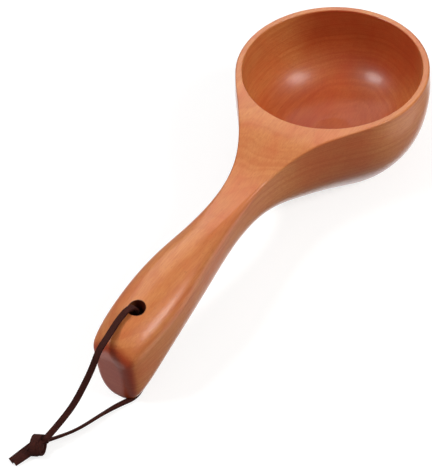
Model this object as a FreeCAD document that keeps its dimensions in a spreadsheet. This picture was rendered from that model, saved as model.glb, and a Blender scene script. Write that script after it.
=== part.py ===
import FreeCAD, Part
import math
import os

# A wooden ladle carved from one board: a turned bowl flows into a slim neck, a full grip and a blunt
# tail with a hole. A flat suede lace is looped through the hole and tied in one overhand knot.
# Millimetres. The origin is on the table under the middle of the bowl, +Z up, the handle along +X.

os.makedirs("parts", exist_ok=True)
doc = FreeCAD.newDocument("ladle")
Vec = FreeCAD.Vector
upward = Vec(0, 0, 1)

sizes = {
    # bowl
    "bowl_height": 50.0,
    "bowl_radius": 50.3,
    "belly_height": 34.5,
    "rim_lean": 0.6,
    "rim_wall": 3.6,
    "rim_round": 0.9,
    "hollow_shoulder": 14.0,
    "floor_thickness": 6.0,
    "hollow_fullness": 2.3,
    # spans along the handle: the shoulder template is on the wall of the bowl
    "shelf_length": 6.6,
    "throat_span": 21.7,
    "neck_span": 26.0,
    "grip_span": 37.0,
    "heel_span": 37.0,
    "tail_span": 25.8,
    # half widths there
    "shoulder_half": 25.5,
    "throat_half": 12.8,
    "neck_half": 8.7,
    "grip_half": 12.2,
    "heel_half": 14.8,
    "tail_half": 11.6,
    # drops of the top below the rim there
    "shoulder_drop": 0.3,
    "throat_drop": 6.2,
    "neck_drop": 9.8,
    "grip_drop": 7.8,
    "heel_drop": 10.1,
    "tail_drop": 14.7,
    # heights of the underside there
    "shoulder_under": 4.5,
    "throat_under": 13.8,
    "neck_under": 18.3,
    "grip_under": 16.5,
    "heel_under": 10.0,
    "tail_under": -2.5,
    # edges and fullness of the handle
    "flare_angle": 56.0,
    "grip_round": 6.4,
    "heel_round": 8.2,
    "grip_crown": 1.2,
    "tail_round": 8.0,
    "tail_bluntness": 0.76,
    "fullness": 2.7,
    # hole
    "hole_diameter": 8.4,
    "hole_setback": 23.2,
    "drill_overrun": 5.0,
    # lace
    "lace_width": 3.2,
    "knot_length": 9.6,
    "knot_core": 6.8,
    "knot_wrap": 5.2,
}

sheet = doc.addObject("Spreadsheet::Sheet", "sizes")
for row, (alias, value) in enumerate(sizes.items(), start=1):
    sheet.set("A%d" % row, alias)
    sheet.set("B%d" % row, str(value))
    sheet.setAlias("B%d" % row, alias)
doc.recompute()


def size(alias):
    return float(sheet.get(alias))


rimTop = size("bowl_height")
bowlRadius = size("bowl_radius")
belly = size("belly_height")
rimRadius = bowlRadius - size("rim_lean")
rimRound = size("rim_round")

# the six sections that a carver would cut templates for
templates = ("shoulder", "throat", "neck", "grip", "heel", "tail")
stations = [bowlRadius]
for name in templates[1:]:
    stations.append(stations[-1] + size(name + "_span"))
throatAt, neckAt, gripAt, heelAt = stations[1:5]
tailAt = stations[-1]


def underBowl(x):
    """Height of the round underside of the bowl on the middle line."""
    return belly - math.sqrt(bowlRadius ** 2 - x ** 2)


def outline(start, startSlope, heights, endSlope):
    """A smooth line through the templates. Its parameter is the place along the handle."""
    points = [Vec(*start, 0)] + [Vec(x, height, 0) for x, height in zip(stations, heights)]
    curve = Part.BSplineCurve()
    curve.interpolate(Points=points, Parameters=[p.x for p in points], Scale=False,
                      InitialTangent=Vec(1, startSlope, 0), FinalTangent=Vec(1, endSlope, 0))
    return lambda x: curve.value(x).y


flareAngle = math.radians(size("flare_angle"))
flareAt = bowlRadius * math.cos(flareAngle)
flareHalf = bowlRadius * math.sin(flareAngle)
shelfEnd = bowlRadius - size("shelf_length")
halves = [size(name + "_half") for name in templates]
tops = [rimTop - size(name + "_drop") for name in templates]
unders = [size(name + "_under") for name in templates]
tailTaper, tailFall, tailKeel = -0.15, -0.35, -0.15
halfWidth = outline((flareAt, flareHalf), -flareAt / flareHalf, halves, tailTaper)
topLine = outline((shelfEnd, rimTop), 0.0, tops, tailFall)
underLine = outline((flareAt, underBowl(flareAt)), flareAt / flareHalf, unders, tailKeel)


def ease(x, start, end):
    """0 before start, 1 after end, smooth between."""
    t = min(max((x - start) / (end - start), 0.0), 1.0)
    return t * t * (3.0 - 2.0 * t)


def bezier(poles):
    curve = Part.BezierCurve()
    curve.setPoles(poles)
    return curve


def sectionSide(x, side, inset=0.0):
    """One side of the section at x: top, edge and hull curves, from the middle of the top to the keel."""
    inBowl = x <= flareAt
    carved = ease(x, flareAt, neckAt)
    half = math.sqrt(bowlRadius ** 2 - x ** 2) if inBowl else halfWidth(x)
    topZ = topLine(x) if x > shelfEnd else rimTop
    keelZ = underBowl(x) if inBowl else underLine(x)
    sideZ = belly + carved * ((topZ + keelZ) / 2.0 - belly)
    power = 2.0 + carved * (size("fullness") - 2.0)
    # the wall of the bowl leans in a little above its widest ring
    leanAt = min(x, flareAt)
    lean = math.sqrt(bowlRadius ** 2 - leanAt ** 2) - math.sqrt(rimRadius ** 2 - leanAt ** 2)
    topHalf = half - lean * (1.0 - carved)
    edge = rimRound + (size("grip_round") - rimRound) * ease(x, throatAt, gripAt)
    edge += (size("heel_round") - size("grip_round")) * ease(x, gripAt, heelAt)
    crown = size("grip_crown") * ease(x, neckAt, gripAt)
    if inset:
        edge *= 1.0 - inset / half
        crown *= 1.0 - inset / half
        half -= inset
        topHalf -= inset
        topZ -= inset
        keelZ += inset

    def point(y, z):
        return Vec(x, side * y, z)

    flat = topHalf - edge
    fall = 2.0 * crown / flat
    arm = 0.5523 * edge
    slant = math.hypot(1.0, fall)
    top = bezier([point(0, topZ + crown), point(flat / 2, topZ + crown), point(flat, topZ)])
    corner = bezier([
        point(flat, topZ),
        point(flat + arm / slant, topZ - arm * fall / slant),
        point(topHalf, topZ - edge + arm),
        point(topHalf, topZ - edge),
    ])
    points = []
    marks = []
    wallSteps, keelSteps = 2, 5
    for i in range(wallSteps):
        f = i / wallSteps
        y = topHalf + (half - topHalf) * f * (2.0 - f)
        points.append(point(y, (topZ - edge) * (1.0 - f) + sideZ * f))
        marks.append(f)
    for i in range(keelSteps + 1):
        a = math.pi / 2 * i / keelSteps
        y = half * math.cos(a) ** (2.0 / power) if i < keelSteps else 0.0
        points.append(point(y, sideZ - (sideZ - keelZ) * math.sin(a) ** (2.0 / power)))
        marks.append(1.0 + 3.2 * i / keelSteps)
    hull = Part.BSplineCurve()
    hull.interpolate(Points=points, Parameters=marks,
                     InitialTangent=Vec(0, 0, -1), FinalTangent=Vec(0, -side, 0))
    return top, corner, hull


def keep(name, shape):
    """A shape worked out from the sheet, kept as an object of the document."""
    item = doc.addObject("Part::Feature", name)
    item.Shape = shape
    return item


# Handle and the near half of the bowl: the sections are measured along the keel line, which turns the
# corner at the tail, and each strip between two seams is skinned over them. The place along that line
# is the strip's own parameter, so the rim stays level and meets the far half without a step.
tailRound = size("tail_round")
roundStart = tailAt - tailRound
roundArm = tailRound * size("tail_bluntness")
roundLength = 3.0 * roundArm
bowlSteps, handleSteps, roundSteps = 3, 12, 5
travel = [flareAt * i / bowlSteps for i in range(bowlSteps)]
travel += [flareAt + (roundStart - flareAt) * i / handleSteps for i in range(handleSteps)]
travel += [roundStart + roundLength * i / roundSteps for i in range(roundSteps + 1)]


# how far the corner of the tail has run along the handle, and how far it has turned inwards
cornerLine = bezier([
    Vec(0, 0, 0), Vec(roundArm, 0, 0), Vec(tailRound, tailRound - roundArm, 0), Vec(tailRound, tailRound, 0),
])


def sidesAt(way, side):
    if way <= roundStart:
        return sectionSide(way, side)
    turned = cornerLine.value((way - roundStart) / roundLength)
    return sectionSide(roundStart + turned.x, side, turned.y)


def strip(side, number):
    """The face swept by one of the three curves of a side."""
    curves = [sidesAt(way, side)[number] for way in travel]
    before = sidesAt(travel[-1] - 0.01, side)[number].getPoles()
    grid = []
    for i, last in enumerate(curves[-1].getPoles()):
        line = Part.BSplineCurve()
        line.interpolate(Points=[c.getPoles()[i] for c in curves], Parameters=travel, Scale=False,
                         InitialTangent=Vec(1, 0, 0), FinalTangent=(last - before[i]) * 100.0)
        grid.append(line)
    across = curves[0] if number == 2 else curves[0].toBSpline()
    surface = Part.BSplineSurface()
    surface.buildFromPolesMultsKnots([line.getPoles() for line in grid],
                                     across.getMultiplicities(), grid[0].getMultiplicities(),
                                     across.getKnots(), grid[0].getKnots(),
                                     False, False, across.Degree, grid[0].Degree)
    return surface.toShape()


def capAt(way):
    right = [c.toShape() for c in sidesAt(way, 1)]
    left = [c.toShape() for c in sidesAt(way, -1)]
    return Part.Face(Part.Wire(right + left[::-1]))


skin = [strip(side, number) for side in (1, -1) for number in range(3)]
shell = Part.Shell(skin + [capAt(travel[0]), capAt(travel[-1])])
shell.sewShape()
handle = keep("handle_and_near_half", Part.Solid(shell))

# Far half of the bowl: the section in the middle of the bowl, turned half round
profile = [c.toShape() for c in sectionSide(0.0, 1)]
bottom = profile[2].Vertexes[-1].Point
axisEdge = Part.makeLine(bottom, Vec(0, 0, rimTop))
farHalf = doc.addObject("Part::Revolution", "far_half")
farHalf.Source = keep("turning_profile", Part.Face(Part.Wire(profile + [axisEdge])))
farHalf.Axis = upward
farHalf.Angle = 180.0
farHalf.Solid = True

blank = doc.addObject("Part::MultiFuse", "blank")
blank.Shapes = [handle, farHalf]

# The foot of the bowl and the heel of the tail are sanded level where they stand on the table
table = doc.addObject("Part::Box", "table_top")
reach = "sizes.bowl_radius + " + " + ".join("sizes.%s_span" % name for name in templates[1:])
table.setExpression("Length", "4 * sizes.bowl_radius + " + reach)
table.setExpression("Width", "4 * sizes.bowl_radius")
table.setExpression("Height", "sizes.bowl_radius")
table.setExpression("Placement.Base.x", "-2 * sizes.bowl_radius")
table.setExpression("Placement.Base.y", "-2 * sizes.bowl_radius")
table.setExpression("Placement.Base.z", "-sizes.bowl_radius")
levelled = doc.addObject("Part::Cut", "levelled")
levelled.Base = blank
levelled.Tool = table

# The hollow: a nearly straight wall, a round shoulder and a dished floor, with the rim's edge broken
hollowRadius = rimRadius - size("rim_wall")
shoulderZ = rimTop - size("hollow_shoulder")
floorZ = size("floor_thickness")


def hollowProfile():
    depth = shoulderZ - floorZ
    power = 2.0 / size("hollow_fullness")
    bowlLine = []
    steps = 7
    for i in range(steps + 1):
        a = math.pi / 2 * i / steps
        y = hollowRadius * math.cos(a) ** power if i < steps else 0.0
        bowlLine.append(Vec(0, y, shoulderZ - depth * math.sin(a) ** power))
    wall = Part.BSplineCurve()
    wall.interpolate(Points=bowlLine, InitialTangent=Vec(0, 0, -1), FinalTangent=Vec(0, -1, 0))
    # the rounding crosses the top of the rim a little steeper than level instead of grazing it
    crossing, ending = math.radians(62.0), math.radians(80.0)

    def onRound(a):
        return roundFoot + Vec(0, rimRound * (1 - math.cos(a)), rimRound * math.sin(a))

    roundFoot = Vec(0, hollowRadius, rimTop - rimRound * math.sin(crossing))
    roundEnd = onRound(ending)
    lip = rimTop + rimRound
    lipOut = Vec(0, roundEnd.y, lip)
    edges = [
        Part.makeLine(Vec(0, 0, lip), lipOut),
        Part.makeLine(lipOut, roundEnd),
        Part.Arc(roundEnd, onRound(ending / 2), roundFoot).toShape(),
        Part.makeLine(roundFoot, bowlLine[0]),
        wall.toShape(),
        Part.makeLine(bowlLine[-1], Vec(0, 0, lip)),
    ]
    return Part.Face(Part.Wire(edges))


hollow = doc.addObject("Part::Revolution", "hollow")
hollow.Source = keep("hollow_profile", hollowProfile())
hollow.Axis = upward
hollow.Angle = 360.0
hollow.Solid = True
hollowed = doc.addObject("Part::Cut", "hollowed")
hollowed.Base = levelled
hollowed.Tool = hollow

# The hole for the lace, drilled straight down near the tail
drill = doc.addObject("Part::Cylinder", "drill")
drill.setExpression("Radius", "sizes.hole_diameter / 2")
drill.setExpression("Height", "sizes.bowl_height + 2 * sizes.drill_overrun")
drill.setExpression("Placement.Base.x", reach + " - sizes.hole_setback")
drill.setExpression("Placement.Base.z", "-sizes.drill_overrun")
ladle = doc.addObject("Part::Cut", "ladle")
ladle.Base = hollowed
ladle.Tool = drill
ladle.Label = "ladle"

# The lace, as a round cord as thick as the strip is wide. One route leads from the knot over the end of
# the tail, down through the hole and back under the flank of the tail to the knot.
loopRoute = [
    (236.6, -11.5, 6.2), (228.0, -9.4, 9.4), (218.6, -7.6, 15.0), (211.0, -6.2, 23.6),
    (206.6, -5.2, 33.0), (202.0, -4.4, 41.4), (193.6, -3.6, 45.4), (185.2, -2.0, 46.2),
    (177.8, -0.8, 47.0), (173.0, -0.6, 43.6), (172.9, -0.9, 32.0), (173.7, -1.0, 16.2),
    (174.2, -0.4, 5.2), (176.0, 3.8, 2.3), (180.5, 8.4, 1.8), (187.5, 11.6, 1.7),
    (195.5, 11.2, 1.7), (203.0, 6.6, 1.7), (213.5, -0.6, 1.8), (226.0, -7.0, 1.9),
    (236.4, -13.8, 2.7),
]
longTailRoute = [(240.2, -16.0, 3.6), (245.6, -19.2, 2.0), (250.8, -21.6, 1.7)]
shortTailRoute = [(241.6, -12.9, 3.4), (246.4, -15.9, 2.0), (251.5, -18.1, 1.7)]
knotCentre = Vec(239.2, -13.4, 4.15)
laceRadius = size("lace_width") / 2


def cordPath(name, route):
    """Straight runs joined by tangent arcs, each as wide as its two runs allow."""
    points = [Vec(*p) for p in route]
    edges = []
    radii = []
    start = points[0]
    for before, here, after in zip(points, points[1:], points[2:]):
        inward = (here - before).normalize()
        outward = (after - here).normalize()
        trim = 0.45 * min((here - before).Length, (after - here).Length)
        half = inward.getAngle(outward) / 2
        radius = trim / math.tan(half)
        arcStart = here - inward * trim
        arcEnd = here + outward * trim
        middle = here + (outward - inward).normalize() * (radius / math.cos(half) - radius)
        edges.append(Part.LineSegment(start, arcStart).toShape())
        edges.append(Part.Arc(arcStart, middle, arcEnd).toShape())
        radii.append(radius)
        start = arcEnd
    edges.append(Part.LineSegment(start, points[-1]).toShape())
    path = Part.Wire(edges)
    print(name, "length %.1f, radii" % path.Length, " ".join("%.1f" % r for r in radii))
    return path


def cord(name, route):
    path = cordPath(name, route)
    along = (Vec(*route[1]) - Vec(*route[0])).normalize()
    ring = Part.Wire(Part.Circle(Vec(*route[0]), along, laceRadius).toShape())
    tube = path.makePipeShell([ring], True, False)
    expected = math.pi * laceRadius ** 2 * path.Length
    print(name, "volume %.1f, section times length %.1f" % (tube.Volume, expected))
    return keep(name + "_tube", tube)


# One overhand knot: a core along the lace with two wraps that cross over it
laceLine = Vec(0.886, -0.464, 0)
knotTurn = FreeCAD.Rotation(Vec(1, 0, 0), laceLine)
core = doc.addObject("Part::Ellipsoid", "knot_core")
core.setExpression("Radius1", "sizes.knot_core / 2")
core.setExpression("Radius2", "sizes.knot_length / 2")
core.setExpression("Radius3", "sizes.knot_core / 2")
core.Placement = FreeCAD.Placement(knotCentre, knotTurn)
wraps = []
for i, (tilt, shift) in enumerate(((24.0, -0.9), (-32.0, 0.9))):
    wrap = doc.addObject("Part::Torus", "knot_wrap_%d" % i)
    wrap.setExpression("Radius1", "sizes.knot_wrap / 2")
    wrap.setExpression("Radius2", "sizes.lace_width * 0.45")
    lean = FreeCAD.Rotation(Vec(0, 0, 1), tilt)
    wrap.Placement = FreeCAD.Placement(knotCentre + laceLine * shift,
                                       knotTurn * lean * FreeCAD.Rotation(Vec(0, 1, 0), 90.0))
    wraps.append(wrap)
knot = doc.addObject("Part::MultiFuse", "lace_knot")
knot.Shapes = [core] + wraps

# each strand ends on the knot's own surface
strands = []
routes = {"lace_loop": loopRoute, "lace_tail_long": longTailRoute, "lace_tail_short": shortTailRoute}
for name in routes:
    strand = doc.addObject("Part::Cut", name)
    strand.Base = cord(name, routes[name])
    strand.Tool = knot
    strands.append(strand)

doc.recompute()

nodes = [ladle, knot] + strands
for item in doc.Objects:
    if "Invalid" in item.State or "Error" in item.State:
        raise RuntimeError("%s failed" % item.Label)
for item in nodes:
    if item.Shape.isNull() or not item.Shape.isValid():
        raise RuntimeError("%s has no sound shape" % item.Label)
    print(item.Label, "solids", len(item.Shape.Solids), "volume %.0f" % item.Shape.Volume)
    item.Shape.exportStep("parts/%s.step" % item.Label)
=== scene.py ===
import math

import bmesh
import bpy
from mathutils import Matrix, Vector


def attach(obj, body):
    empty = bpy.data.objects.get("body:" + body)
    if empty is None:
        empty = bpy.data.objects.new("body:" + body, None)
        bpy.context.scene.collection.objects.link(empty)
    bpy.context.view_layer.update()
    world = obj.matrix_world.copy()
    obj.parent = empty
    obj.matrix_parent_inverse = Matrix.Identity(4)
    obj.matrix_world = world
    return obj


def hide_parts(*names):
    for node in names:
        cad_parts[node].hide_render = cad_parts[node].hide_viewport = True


# A lacquered wooden ladle with a brown suede lace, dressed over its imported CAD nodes. Metres.

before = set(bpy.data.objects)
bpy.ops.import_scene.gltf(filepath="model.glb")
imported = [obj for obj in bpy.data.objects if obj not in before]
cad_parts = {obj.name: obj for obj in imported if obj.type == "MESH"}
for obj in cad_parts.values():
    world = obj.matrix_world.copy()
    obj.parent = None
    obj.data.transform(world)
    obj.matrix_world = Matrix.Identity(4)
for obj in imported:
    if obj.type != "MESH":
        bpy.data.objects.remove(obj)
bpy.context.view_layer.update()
mm = 0.001


def linear(hexText):  # sRGB hex to the linear colour that Blender's sockets take
    channels = [int(hexText[i:i + 2], 16) / 255 for i in (1, 3, 5)]
    return [c / 12.92 if c <= 0.04045 else ((c + 0.055) / 1.055) ** 2.4 for c in channels] + [1.0]


def addNode(tree, kind, settings=None, links=None):  # settings: properties, or sockets by name or number
    node = tree.nodes.new(kind)
    for key, value in (settings or {}).items():
        if isinstance(key, str) and hasattr(node, key):
            setattr(node, key, value)
        else:
            node.inputs[key].default_value = value
    for key, source in (links or {}).items():
        if isinstance(source, bpy.types.Node):
            source = source.outputs[0]
        tree.links.new(source, node.inputs[key])
    return node


def newMaterial(name):
    material = bpy.data.materials.new(name)
    material.use_nodes = True
    material.node_tree.nodes.clear()
    return material, material.node_tree


def wear(piece, material):
    piece.data.materials.clear()
    piece.data.materials.append(material)
    return piece


# The camera stands a little way off the tail, to its left, and looks down at the bowl.
camera = {
    "place": (447.25, 262.55, 492.15),  # mm
    "right": (-0.5476, 0.8334, -0.0746),
    "up": (-0.6452, -0.3638, 0.6718),
    "back": (0.5327, 0.4161, 0.7369),
    "lens": 109.2,  # mm
    "sensor": 36.0,  # mm
    "clip": (0.01, 20),  # m
}


def makeCamera():
    data = bpy.data.cameras.new("camera")
    data.lens = camera["lens"]
    data.sensor_width = camera["sensor"]
    data.sensor_fit = "HORIZONTAL"
    data.clip_start, data.clip_end = camera["clip"]
    item = bpy.data.objects.new("camera", data)
    axes = Matrix([camera["right"], camera["up"], camera["back"]]).transposed()
    item.matrix_world = Matrix.Translation(Vector(camera["place"]) * mm) @ axes.to_4x4()
    bpy.context.scene.collection.objects.link(item)
    bpy.context.scene.camera = item


makeCamera()
print("camera set")

# A white table in a white room, lit by two round softboxes and an even fill.
studio = {
    "middle": (85, 0, 20),  # mm, what the lights aim at
    # m out, m up: a round table that turns up into a wall
    "table": ((0.0, 0.0), (1.4, 0.0), (1.7, 0.03), (1.95, 0.13), (2.15, 0.32), (2.27, 0.6), (2.3, 3.0)),
    "tableSides": 96,
    "floorDrop": 0.02,  # mm
    "floorColour": "#a5a4a3",
    "floorRoughness": 0.9,
    "floorShine": 0.1,
    "floorLight": "#ffffff",
    "floorGlow": 0.72,  # the table is lit from below, so shadows on it stay faint
    "fill": "#f8fafc",
    "fillStrength": 0.29,
    # name: azimuth from +X, elevation, distance m, width m, height m, watts, colour
    "softboxes": {
        "keyBox": (104, 41, 1.3, 0.50, 0.50, 10.9, "#fffcf8"),
        "keyGlow": (105, 53, 1.3, 0.42, 0.46, 9.0, "#ffffff"),
        "sideBox": (-52, 48, 1.3, 0.38, 0.42, 9.9, "#ffffff"),
        "topSheet": (175, 74, 1.5, 1.30, 1.30, 0.4, "#ffffff"),
        "backWall": (-141, 42, 1.3, 1.70, 1.00, 14.5, "#ffffff"),
        "tableBehind": (-142, -50, 1.3, 1.60, 1.60, 9.0, "#ffffff"),
        "tableRight": (118, -20, 1.3, 1.60, 1.00, 6.0, "#ffffff"),
        "tableNear": (-30, -34, 1.3, 0.90, 0.60, 2.4, "#ffffff"),
    },
    "unseenInGloss": ("keyBox", "topSheet"),  # so even that the lacquer shows no edge of them
    # the key's bright middle, a pale wall and parts of a pale table: they give sheen and light nothing
    "onlyInGloss": ("keyGlow", "backWall", "tableBehind", "tableRight", "tableNear"),
}


def makeStudio():
    scene = bpy.context.scene
    scene.view_settings.view_transform = "Standard"
    middle = Vector(studio["middle"]) * mm
    for name, (azimuth, elevation, distance, width, height, watts, colour) in studio["softboxes"].items():
        data = bpy.data.lights.new(name, "AREA")
        data.shape = "ELLIPSE"
        data.size, data.size_y = width, height
        data.energy = watts
        data.color = linear(colour)[:3]
        item = bpy.data.objects.new(name, data)
        a, e = math.radians(azimuth), math.radians(elevation)
        outward = Vector((math.cos(a) * math.cos(e), math.sin(a) * math.cos(e), math.sin(e)))
        item.location = middle + outward * distance
        item.rotation_mode = "QUATERNION"
        item.rotation_quaternion = outward.to_track_quat("Z", "Y")
        item.visible_camera = False
        item.visible_glossy = name not in studio["unseenInGloss"]
        item.visible_diffuse = name not in studio["onlyInGloss"]
        scene.collection.objects.link(item)

    world = bpy.data.worlds.new("white room")
    world.use_nodes = True
    world.node_tree.nodes.clear()
    room = addNode(world.node_tree, "ShaderNodeBackground",
                   {"Color": linear(studio["fill"]), "Strength": studio["fillStrength"]})
    addNode(world.node_tree, "ShaderNodeOutputWorld", links={"Surface": room})
    scene.world = world

    build = bmesh.new()
    sides = studio["tableSides"]
    rings = []
    for reach, height in studio["table"]:
        turns = [2 * math.pi * k / sides for k in range(sides if reach else 1)]
        rings.append([build.verts.new((reach * math.cos(t), reach * math.sin(t), height)) for t in turns])
    for inner, outer in zip(rings, rings[1:]):
        for k in range(sides):
            n = (k + 1) % sides
            corners = [outer[k], outer[n]]
            if len(inner) > 1:
                corners = [inner[k], *corners, inner[n]]
            else:  # the middle is one point
                corners = [inner[0], *corners]
            build.faces.new(corners).smooth = True
    mesh = bpy.data.meshes.new("floor")
    build.to_mesh(mesh)
    build.free()
    floor = bpy.data.objects.new("floor", mesh)
    floor.location.z = -studio["floorDrop"] * mm
    floor.visible_diffuse = False  # the room's even fill stands for the light that the table sends up
    floor.visible_glossy = False
    floor.visible_shadow = False
    scene.collection.objects.link(floor)
    table, tree = newMaterial("opal acrylic, matt, lit from below")
    skin = addNode(tree, "ShaderNodeBsdfPrincipled",
                   {"Base Color": linear(studio["floorColour"]), "Roughness": studio["floorRoughness"],
                    "Specular IOR Level": studio["floorShine"],
                    "Emission Color": linear(studio["floorLight"]),
                    "Emission Strength": studio["floorGlow"]})
    addNode(tree, "ShaderNodeOutputMaterial", links={"Surface": skin})
    wear(floor, table)


makeStudio()
print("studio lit:", ", ".join(studio["softboxes"]))

ladleWood = {
    "light": "#c57d46",  # early wood under the lacquer
    "dark": "#b05a2b",  # late wood
    "ringAxis": (14, -150),  # mm in Y and Z: the heart of the tree lay far below the board, along X
    "ringWidth": 2.1,  # mm
    "ringTaper": 0.012,  # how much a step along X counts, so the layers run out a little
    "ringDetail": 3.0,
    "ringSharpness": 0.62,
    "ringFrom": (0.34, 0.66),  # noise values, from early wood to late wood
    "ringStrength": 0.42,
    "drift": (70, 32),  # mm, how far apart the layers' slow bends are, along and across
    "driftDetail": 2.0,
    "bend": 9,  # mm
    "grainSharpness": 0.55,
    # name: mm along, mm across, shift, detail, noise values from and to, strength, colour
    "grain": {
        "mottle": (34, 17, 90, 3.0, 0.42, 0.66, 0.35, "#c0562c"),  # soft red clouds
        "fleck": (9, 4.5, 20, 2.0, 0.45, 0.68, 0.25, "#b5592c"),
        "fibre": (9, 0.6, 0, 3.0, 0.38, 0.68, 0.34, "#a9592c"),  # really 1 mm by 0.02, too fine to show
        "pore": (2.6, 0.42, 40, 1.0, 0.66, 0.76, 0.40, "#8f4522"),  # open pores, filled with lacquer
    },
    "hollowShadeTone": "#eda066",  # painted shade in the hollow, darker and redder towards its bottom
    "inside": (0.0, 0.72),  # strength of the painted shade above and below
    "hollowRadius": 46.5,  # mm, where the hollow's wall is
    "wallEdge": (0.4, -0.6),  # mm, how softly the painted shade starts at the wall
    "hollowHeight": (5.0, 8.0, 27.0, 49.0),  # mm: floor, dark below, pale above, lip
    "bottomEdge": 0.5,  # mm, how softly it starts at the floor
    "lipEdge": 0.8,  # mm, and at the lip
    "cutEndShadeTone": "#cb5a2a",  # ends drink lacquer and look darker; this tone is also painted shade on faces turned along X, such as the tail's end and the hollow's far wall
    "cutEndShadeStrength": 0.8,
    "cutEndShadeFrom": (0.4, 0.84),  # how squarely the grain is cut, from none to all of the end-grain and painted-shade tone
    "cutEndShadeInHollow": 0.78,  # share of it in the hollow
    # painted shade: the lace hole's deep wall, darkened nearly to black
    "holeShadeTone": "#2a1009",
    "holeShadeStrength": 0.8,
    "holeAt": (174.6, 0),  # mm
    "holeRadius": 4.3,  # mm
    "holeEdge": (0.25, -0.05),  # mm
    "roughness": (0.34, 0.44),
    "relief": 0.012,  # mm, what can be felt of the fibres
    "ior": 1.33,
    "coat": 0.25,
    "coatRoughness": 0.2,
    "coatIor": 1.4,
}


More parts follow.
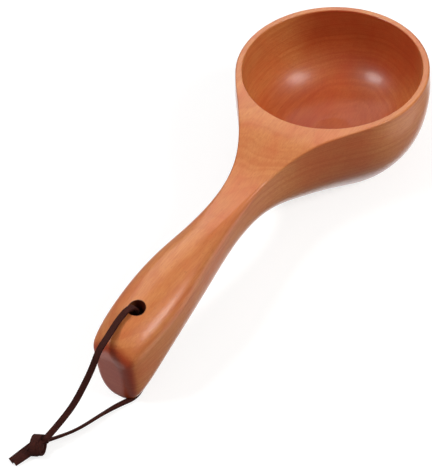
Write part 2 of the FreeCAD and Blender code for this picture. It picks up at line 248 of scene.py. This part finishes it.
def lacqueredWood():
    # Solid cherry-coloured hardwood, carved, sanded and brushed with clear satin lacquer: soft red clouds
    # and short fibres show through, darker where an end is cut, under a soft even gloss; painted shade
    # darkens the hollow towards its bottom, the lace hole's wall and faces turned along X.
    material, tree = newMaterial("hardwood, carved, satin lacquer")
    w = ladleWood
    spot = addNode(tree, "ShaderNodeTexCoord").outputs["Object"]
    inMm = addNode(tree, "ShaderNodeVectorMath", {"operation": "SCALE", "Scale": 1 / mm}, {0: spot})

    # growth layers round the ring axis, bent a little by slow noise
    along, across = w["drift"]
    slow = addNode(tree, "ShaderNodeMapping", {"Scale": (1 / along, 1 / across, 1 / across)},
                   {"Vector": inMm})
    drift = addNode(tree, "ShaderNodeTexNoise", {"Scale": 1.0, "Detail": w["driftDetail"]},
                    {"Vector": slow})
    bent = addNode(tree, "ShaderNodeVectorMath",
                   {"operation": "MULTIPLY_ADD", 1: (0, w["bend"], w["bend"])},
                   {0: drift.outputs["Color"], 2: inMm})
    axisY, axisZ = w["ringAxis"]
    fromAxis = addNode(tree, "ShaderNodeMapping",
                       {"Location": (0, -axisY, -axisZ), "Scale": (w["ringTaper"], 1, 1)}, {"Vector": bent})
    radius = addNode(tree, "ShaderNodeVectorMath", {"operation": "LENGTH"}, {0: fromAxis}).outputs["Value"]
    layers = addNode(tree, "ShaderNodeMath", {"operation": "DIVIDE", 1: w["ringWidth"]}, {0: radius})
    band = addNode(tree, "ShaderNodeTexNoise",
                   {"noise_dimensions": "1D", "Scale": 1.0, "Detail": w["ringDetail"],
                    "Roughness": w["ringSharpness"]}, {"W": layers})
    ringLow, ringHigh = w["ringFrom"]
    bandAmount = addNode(tree, "ShaderNodeMapRange",
                         {"interpolation_type": "SMOOTHSTEP", "From Min": ringLow, "From Max": ringHigh,
                          "To Max": w["ringStrength"]}, {"Value": band})
    tone = addNode(tree, "ShaderNodeMix",
                   {"data_type": "RGBA", 6: linear(w["light"]), 7: linear(w["dark"])},
                   {"Factor": bandAmount})

    # clouds, flecks, fibres and pores, all drawn out along the grain
    noises = {}
    for name, (long, wide, shift, detail, low, high, strength, colour) in w["grain"].items():
        place = addNode(tree, "ShaderNodeMapping",
                        {"Location": (shift, 0, 0), "Scale": (1 / long, 1 / wide, 1 / wide)},
                        {"Vector": inMm})
        noises[name] = addNode(tree, "ShaderNodeTexNoise",
                               {"Scale": 1.0, "Detail": detail, "Roughness": w["grainSharpness"]},
                               {"Vector": place})
        amount = addNode(tree, "ShaderNodeMapRange",
                         {"interpolation_type": "SMOOTHSTEP", "From Min": low, "From Max": high,
                          "To Max": strength}, {"Value": noises[name]})
        tone = addNode(tree, "ShaderNodeMix", {"data_type": "RGBA", 7: linear(colour)},
                       {"Factor": amount, 6: tone.outputs[2]})

    # the hollow: inside the ring of the rim, above the bowl's floor and below its lip, painted darker and
    # redder towards its bottom as shade
    flat = addNode(tree, "ShaderNodeVectorMath", {"operation": "MULTIPLY", 1: (1, 1, 0)}, {0: inMm})
    fromMiddle = addNode(tree, "ShaderNodeVectorMath", {"operation": "LENGTH"}, {0: flat}).outputs["Value"]
    height = addNode(tree, "ShaderNodeSeparateXYZ", links={0: inMm}).outputs["Z"]
    wallOuter, wallInner = w["wallEdge"]
    withinWall = addNode(tree, "ShaderNodeMapRange",
                         {"interpolation_type": "SMOOTHSTEP", "From Min": w["hollowRadius"] + wallOuter,
                          "From Max": w["hollowRadius"] + wallInner}, {"Value": fromMiddle})
    bottom, darkBelow, paleAbove, lip = w["hollowHeight"]
    aboveFloor = addNode(tree, "ShaderNodeMapRange",
                         {"From Min": bottom - w["bottomEdge"], "From Max": bottom + w["bottomEdge"]},
                         {"Value": height})
    belowLip = addNode(tree, "ShaderNodeMapRange",
                       {"From Min": lip + w["lipEdge"], "From Max": lip - w["lipEdge"]},
                       {"Value": height})
    depth = addNode(tree, "ShaderNodeMapRange",
                    {"interpolation_type": "SMOOTHSTEP", "From Min": paleAbove, "From Max": darkBelow,
                     "To Min": w["inside"][0], "To Max": w["inside"][1]}, {"Value": height})
    within = addNode(tree, "ShaderNodeMath", {"operation": "MULTIPLY"}, {0: withinWall, 1: aboveFloor})
    deep = addNode(tree, "ShaderNodeMath", {"operation": "MULTIPLY"}, {0: within, 1: belowLip})
    paintedHollowShade = addNode(tree, "ShaderNodeMath", {"operation": "MULTIPLY"}, {0: deep, 1: depth})
    # painted shade deep in the hollow
    tone = addNode(tree, "ShaderNodeMix",
                   {"data_type": "RGBA", "blend_type": "MULTIPLY", 7: linear(w["hollowShadeTone"])},
                   {"Factor": paintedHollowShade, 6: tone.outputs[2]})

    # darker where the surface cuts across the grain, which is also painted shade on faces turned along X; a
    # little less in the hollow
    facing = addNode(tree, "ShaderNodeNewGeometry").outputs["Normal"]
    turned = addNode(tree, "ShaderNodeVectorMath", {"operation": "ABSOLUTE"}, {0: facing})
    squareness = addNode(tree, "ShaderNodeSeparateXYZ", links={0: turned}).outputs["X"]
    cutEndShadeLow, cutEndShadeHigh = w["cutEndShadeFrom"]
    cutEndShadeMask = addNode(tree, "ShaderNodeMapRange",
                  {"interpolation_type": "SMOOTHSTEP", "From Min": cutEndShadeLow, "From Max": cutEndShadeHigh,
                   "To Max": w["cutEndShadeStrength"]}, {"Value": squareness})
    share = addNode(tree, "ShaderNodeMapRange", {"To Min": 1.0, "To Max": w["cutEndShadeInHollow"]},
                    {"Value": deep})
    cutEndShadeAmount = addNode(tree, "ShaderNodeMath", {"operation": "MULTIPLY"}, {0: cutEndShadeMask, 1: share})
    tone = addNode(tree, "ShaderNodeMix",
                   {"data_type": "RGBA", "blend_type": "MULTIPLY", 7: linear(w["cutEndShadeTone"])},
                   {"Factor": cutEndShadeAmount, 6: tone.outputs[2]})

    # painted shade on the wall of the lace hole, darkened nearly to black
    fromHole = addNode(tree, "ShaderNodeVectorMath", {"operation": "DISTANCE", 1: (*w["holeAt"], 0)},
                       {0: flat}).outputs["Value"]
    holeOuter, holeInner = w["holeEdge"]
    paintedHoleShade = addNode(tree, "ShaderNodeMapRange",
                     {"From Min": w["holeRadius"] + holeOuter, "From Max": w["holeRadius"] + holeInner,
                      "To Max": w["holeShadeStrength"]}, {"Value": fromHole})
    tone = addNode(tree, "ShaderNodeMix", {"data_type": "RGBA", 7: linear(w["holeShadeTone"])},
                   {"Factor": paintedHoleShade, 6: tone.outputs[2]})

    bump = addNode(tree, "ShaderNodeBump", {"Strength": 1.0, "Distance": w["relief"] * mm},
                   {"Height": noises["fibre"]})
    gloss = addNode(tree, "ShaderNodeMapRange",
                    {"To Min": w["roughness"][0], "To Max": w["roughness"][1]},
                    {"Value": noises["fibre"]})
    skin = addNode(tree, "ShaderNodeBsdfPrincipled",
                   {"IOR": w["ior"], "Coat Weight": w["coat"], "Coat Roughness": w["coatRoughness"],
                    "Coat IOR": w["coatIor"]},
                   {"Base Color": tone.outputs[2], "Roughness": gloss, "Normal": bump})
    addNode(tree, "ShaderNodeOutputMaterial", links={"Surface": skin})
    return material


ladle = wear(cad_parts["ladle"], lacqueredWood())
print("ladle lacquered")

lace = {
    "width": 3.0,  # mm
    "thickness": 1.2,  # mm
    "edge": 0.35,  # mm, rounding of the cut edges
    "edgeSteps": 3,  # flats round each of them
    "rowsPerSpan": 10,  # cross sections between two points of a route
    "facePoint": 10,  # mm above the strip, where the line runs that its face looks at
    "colour": "#3f1811",
    "nap": "#270e09",  # between the fibres
    "napGrain": 0.45,  # mm; real nap is 0.05 mm, too fine to show
    "napDetail": 3.0,
    "napSharpness": 0.7,
    "napFrom": (0.35, 0.7),  # noise values, from all between the fibres to all fibre
    "worn": "#55261a",
    "wornPatch": 3.5,  # mm
    "wornDetail": 2.0,
    "wornFrom": (0.5, 0.8),  # noise values, from not worn to fully worn
    "wornStrength": 0.4,
    "relief": 0.12,  # mm
    "reliefStrength": 0.5,
    "roughness": 0.85,
    "shine": 0.14,
    "sheen": 0.1,
    "sheenRoughness": 0.4,
    "sheenTone": "#7a3a28",
}


def suede():
    # Split leather, cut to a strip and brushed: a short nap that takes no shine, lighter where it rubs.
    material, tree = newMaterial("suede strip, brushed")
    spot = addNode(tree, "ShaderNodeTexCoord").outputs["Object"]
    fine = addNode(tree, "ShaderNodeTexNoise",
                   {"Scale": 1 / (lace["napGrain"] * mm), "Detail": lace["napDetail"],
                    "Roughness": lace["napSharpness"]}, {"Vector": spot})
    slow = addNode(tree, "ShaderNodeTexNoise",
                   {"Scale": 1 / (lace["wornPatch"] * mm), "Detail": lace["wornDetail"]}, {"Vector": spot})
    napLow, napHigh = lace["napFrom"]
    fibres = addNode(tree, "ShaderNodeMapRange", {"From Min": napLow, "From Max": napHigh}, {"Value": fine})
    wornLow, wornHigh = lace["wornFrom"]
    rubbed = addNode(tree, "ShaderNodeMapRange",
                     {"From Min": wornLow, "From Max": wornHigh, "To Max": lace["wornStrength"]},
                     {"Value": slow})
    base = addNode(tree, "ShaderNodeMix",
                   {"data_type": "RGBA", 6: linear(lace["nap"]), 7: linear(lace["colour"])},
                   {"Factor": fibres})
    tone = addNode(tree, "ShaderNodeMix", {"data_type": "RGBA", 7: linear(lace["worn"])},
                   {"Factor": rubbed, 6: base.outputs[2]})
    bump = addNode(tree, "ShaderNodeBump",
                   {"Strength": lace["reliefStrength"], "Distance": lace["relief"] * mm}, {"Height": fine})
    skin = addNode(tree, "ShaderNodeBsdfPrincipled",
                   {"Roughness": lace["roughness"], "Specular IOR Level": lace["shine"],
                    "Sheen Weight": lace["sheen"], "Sheen Roughness": lace["sheenRoughness"],
                    "Sheen Tint": linear(lace["sheenTone"])},
                   {"Base Color": tone.outputs[2], "Normal": bump})
    addNode(tree, "ShaderNodeOutputMaterial", links={"Surface": skin})
    return material


laceMaterial = suede()


def splinePoints(points):  # points on the NURBS curve that has these control points
    curve = bpy.data.curves.new("route", "CURVE")
    curve.dimensions = "3D"
    curve.resolution_u = lace["rowsPerSpan"]
    spline = curve.splines.new("NURBS")
    spline.points.add(len(points) - 1)
    for target, point in zip(spline.points, points):
        target.co = (*point, 1.0)
    spline.order_u = 3
    spline.use_endpoint_u = True
    item = bpy.data.objects.new("route", curve)
    mesh = bpy.data.meshes.new_from_object(item)
    found = [v.co.copy() for v in mesh.vertices]
    bpy.data.objects.remove(item)
    bpy.data.meshes.remove(mesh)
    bpy.data.curves.remove(curve)
    return found


def stripSection():  # the cut strip end on: a flat bar with eased edges, as mm sideways and mm outward
    halfWide, halfThick, edge = lace["width"] / 2, lace["thickness"] / 2, lace["edge"]
    outline = []
    for sideways, outward, start in ((1, 1, 0), (-1, 1, 90), (-1, -1, 180), (1, -1, 270)):
        for step in range(lace["edgeSteps"] + 1):
            a = math.radians(start + 90 / lace["edgeSteps"] * step)
            outline.append((sideways * (halfWide - edge) + edge * math.cos(a),
                            outward * (halfThick - edge) + edge * math.sin(a)))
    return outline


def makeStrip(name, rows):  # rows: (point in mm, direction that the strip's face looks in)
    reach = lace["facePoint"]
    centres = splinePoints([Vector(point) for point, face in rows])
    lifted = splinePoints([Vector(point) + Vector(face).normalized() * reach for point, face in rows])
    section = stripSection()
    build = bmesh.new()
    rings = []
    for i, centre in enumerate(centres):
        along = (centres[min(i + 1, len(centres) - 1)] - centres[max(i - 1, 0)]).normalized()
        sideways = along.cross(lifted[i] - centre).normalized()
        face = sideways.cross(along)
        rings.append([build.verts.new((centre + sideways * s + face * t) * mm) for s, t in section])
    for ring, following in zip(rings, rings[1:]):
        for k in range(len(ring)):
            n = (k + 1) % len(ring)
            build.faces.new((ring[k], ring[n], following[n], following[k]))
    build.faces.new(rings[0][::-1])
    build.faces.new(rings[-1])
    bmesh.ops.recalc_face_normals(build, faces=build.faces)
    mesh = bpy.data.meshes.new(name)
    build.to_mesh(mesh)
    build.free()
    for polygon in mesh.polygons:
        polygon.use_smooth = len(polygon.vertices) == 4
    piece = bpy.data.objects.new(name, mesh)
    bpy.context.scene.collection.objects.link(piece)
    wear(piece, laceMaterial)
    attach(piece, "root")
    return piece, [c * mm for c in centres]


# From the knot over the end of the tail, down through the hole, and back under the tail to the knot.
loopRows = [
    ((236.6, -11.5, 6.2), (0.45, 0.3, 0.84)), ((228.0, -9.4, 9.4), (0.45, 0.25, 0.86)),
    ((218.6, -6.8, 15.0), (0.62, 0.25, 0.74)), ((211.0, -4.6, 23.6), (0.78, 0.2, 0.6)),
    ((205.4, -3.0, 31.0), (0.86, 0.1, 0.5)), ((201.6, -1.6, 38.6), (0.72, 0.0, 0.68)),
    ((193.6, -1.6, 40.6), (0.3, 0.0, 0.95)), ((185.6, -2.6, 41.2), (0.1, 0.0, 1)),
    ((178.4, -2.0, 42.6), (0.1, 0.0, 1)), ((174.0, -0.9, 40.6), (-0.7, 0.1, 0.6)),
    ((172.9, -0.9, 32.0), (-1, 0.1, 0)), ((173.7, -1.0, 16.2), (-1, 0.1, 0)),
    ((174.2, -0.4, 5.6), (-0.8, -0.2, -0.6)), ((177.4, 2.0, 2.4), (-0.1, 0, -1)),
    ((182.6, 4.4, 1.4), (0, 0.1, -1)), ((188.6, 7.2, 1.2), (0, 0.45, -1)),
    ((194.6, 7.5, 1.2), (0, 0.5, -1)), ((200.4, 3.8, 1.2), (0.1, 0.3, -1)),
    ((209.6, 0.0, 1.6), (0.45, 0.55, -0.7)),
    ((221.4, -4.2, 1.7), (0.45, 0.6, -0.68)), ((229.0, -9.0, 1.8), (0.45, 0.55, -0.7)),
    ((236.4, -13.8, 2.9), (0.3, 0.5, -0.8)),
]
longRows = [((239.4, -15.9, 4.0), (0.1, 0.1, 1)), ((245.2, -18.6, 2.2), (0.1, 0.1, 1)),
            ((250.6, -20.6, 1.2), (0, 0.1, 1))]
shortRows = [((240.6, -13.6, 3.4), (0.2, 0.3, 1)), ((246.0, -16.2, 2.0), (0.2, 0.3, 1)),
             ((250.6, -18.4, 1.3), (0.15, 0.3, 1))]
loop, loopLine = makeStrip("lace_strip", loopRows)
longEnd = makeStrip("lace_end_long", longRows)[0]
shortEnd = makeStrip("lace_end_short", shortRows)[0]
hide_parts("lace_loop")
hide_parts("lace_tail_long")
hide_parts("lace_tail_short")
loopLength = sum((b - a).length for a, b in zip(loopLine, loopLine[1:]))
print("lace strips laid, loop %.0f mm" % (loopLength / mm))

knot = {
    "centre": (239.2, -13.5, 4.4),  # mm
    "through": (0.46, -0.888, 0),  # the way that the lace goes through the knot
    "across": (-0.86, -0.445, 0.22),  # its long way
    "stretch": 1.6,  # how much wider it is than deep
    "heart": (2.9, 4.6, 2.9),  # mm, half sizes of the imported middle
    "heartSteps": 4,  # how finely its ball is divided
    # each turn's points: mm through the knot, mm out from its middle line, degrees round it
    "lace_knot_wrap": [
        (-3.6, 1.0, 60), (-2.8, 2.2, 20), (-1.4, 3.0, -30), (-0.4, 3.1, -90), (0.6, 3.2, -150),
        (1.3, 3.3, 150), (1.5, 3.4, 90), (1.0, 3.3, 30), (0.2, 3.2, -30), (-0.8, 3.0, -80),
        (-1.7, 2.6, -140),
    ],
    "lace_knot_turn": [
        (3.2, 1.2, 200), (2.7, 2.2, 160), (1.5, 2.7, 110), (0.2, 3.0, 60), (-1.2, 3.2, 10),
        (-2.0, 3.2, -50), (-2.0, 3.0, -110), (-1.3, 2.9, 190), (-0.5, 3.1, 140), (0.5, 2.8, 100),
    ],
}


def makeKnot():  # one overhand turn in each of two strips: bands that climb over one another
    through = Vector(knot["through"]).normalized()
    across = Vector(knot["across"]).normalized()
    upward = through.cross(across)
    if upward.z < 0:
        upward.negate()
    centre = Vector(knot["centre"])
    pieces = []
    for name in ("lace_knot_wrap", "lace_knot_turn"):
        rows = []
        for step, radius, turn in knot[name]:  # the face looks away from the knot's middle line
            level, rise = math.cos(math.radians(turn)), math.sin(math.radians(turn))
            point = centre + through * step + (across * level * knot["stretch"] + upward * rise) * radius
            rows.append((point, across * level / knot["stretch"] + upward * rise))
        pieces.append(makeStrip(name, rows)[0])
    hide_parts("lace_knot")

    build = bmesh.new()
    bmesh.ops.create_icosphere(build, subdivisions=knot["heartSteps"], radius=1.0)
    for v in build.verts:
        d = [part * half for part, half in zip(v.co, knot["heart"])]
        v.co = (centre + through * d[0] + across * d[1] + upward * d[2]) * mm
    mesh = bpy.data.meshes.new("lace_knot_heart")
    build.to_mesh(mesh)
    build.free()
    for polygon in mesh.polygons:
        polygon.use_smooth = True
    heart = bpy.data.objects.new("lace_knot_heart", mesh)
    bpy.context.scene.collection.objects.link(heart)
    wear(heart, laceMaterial)
    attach(heart, "root")
    return pieces + [heart]


knotPieces = makeKnot()
print("knot tied")
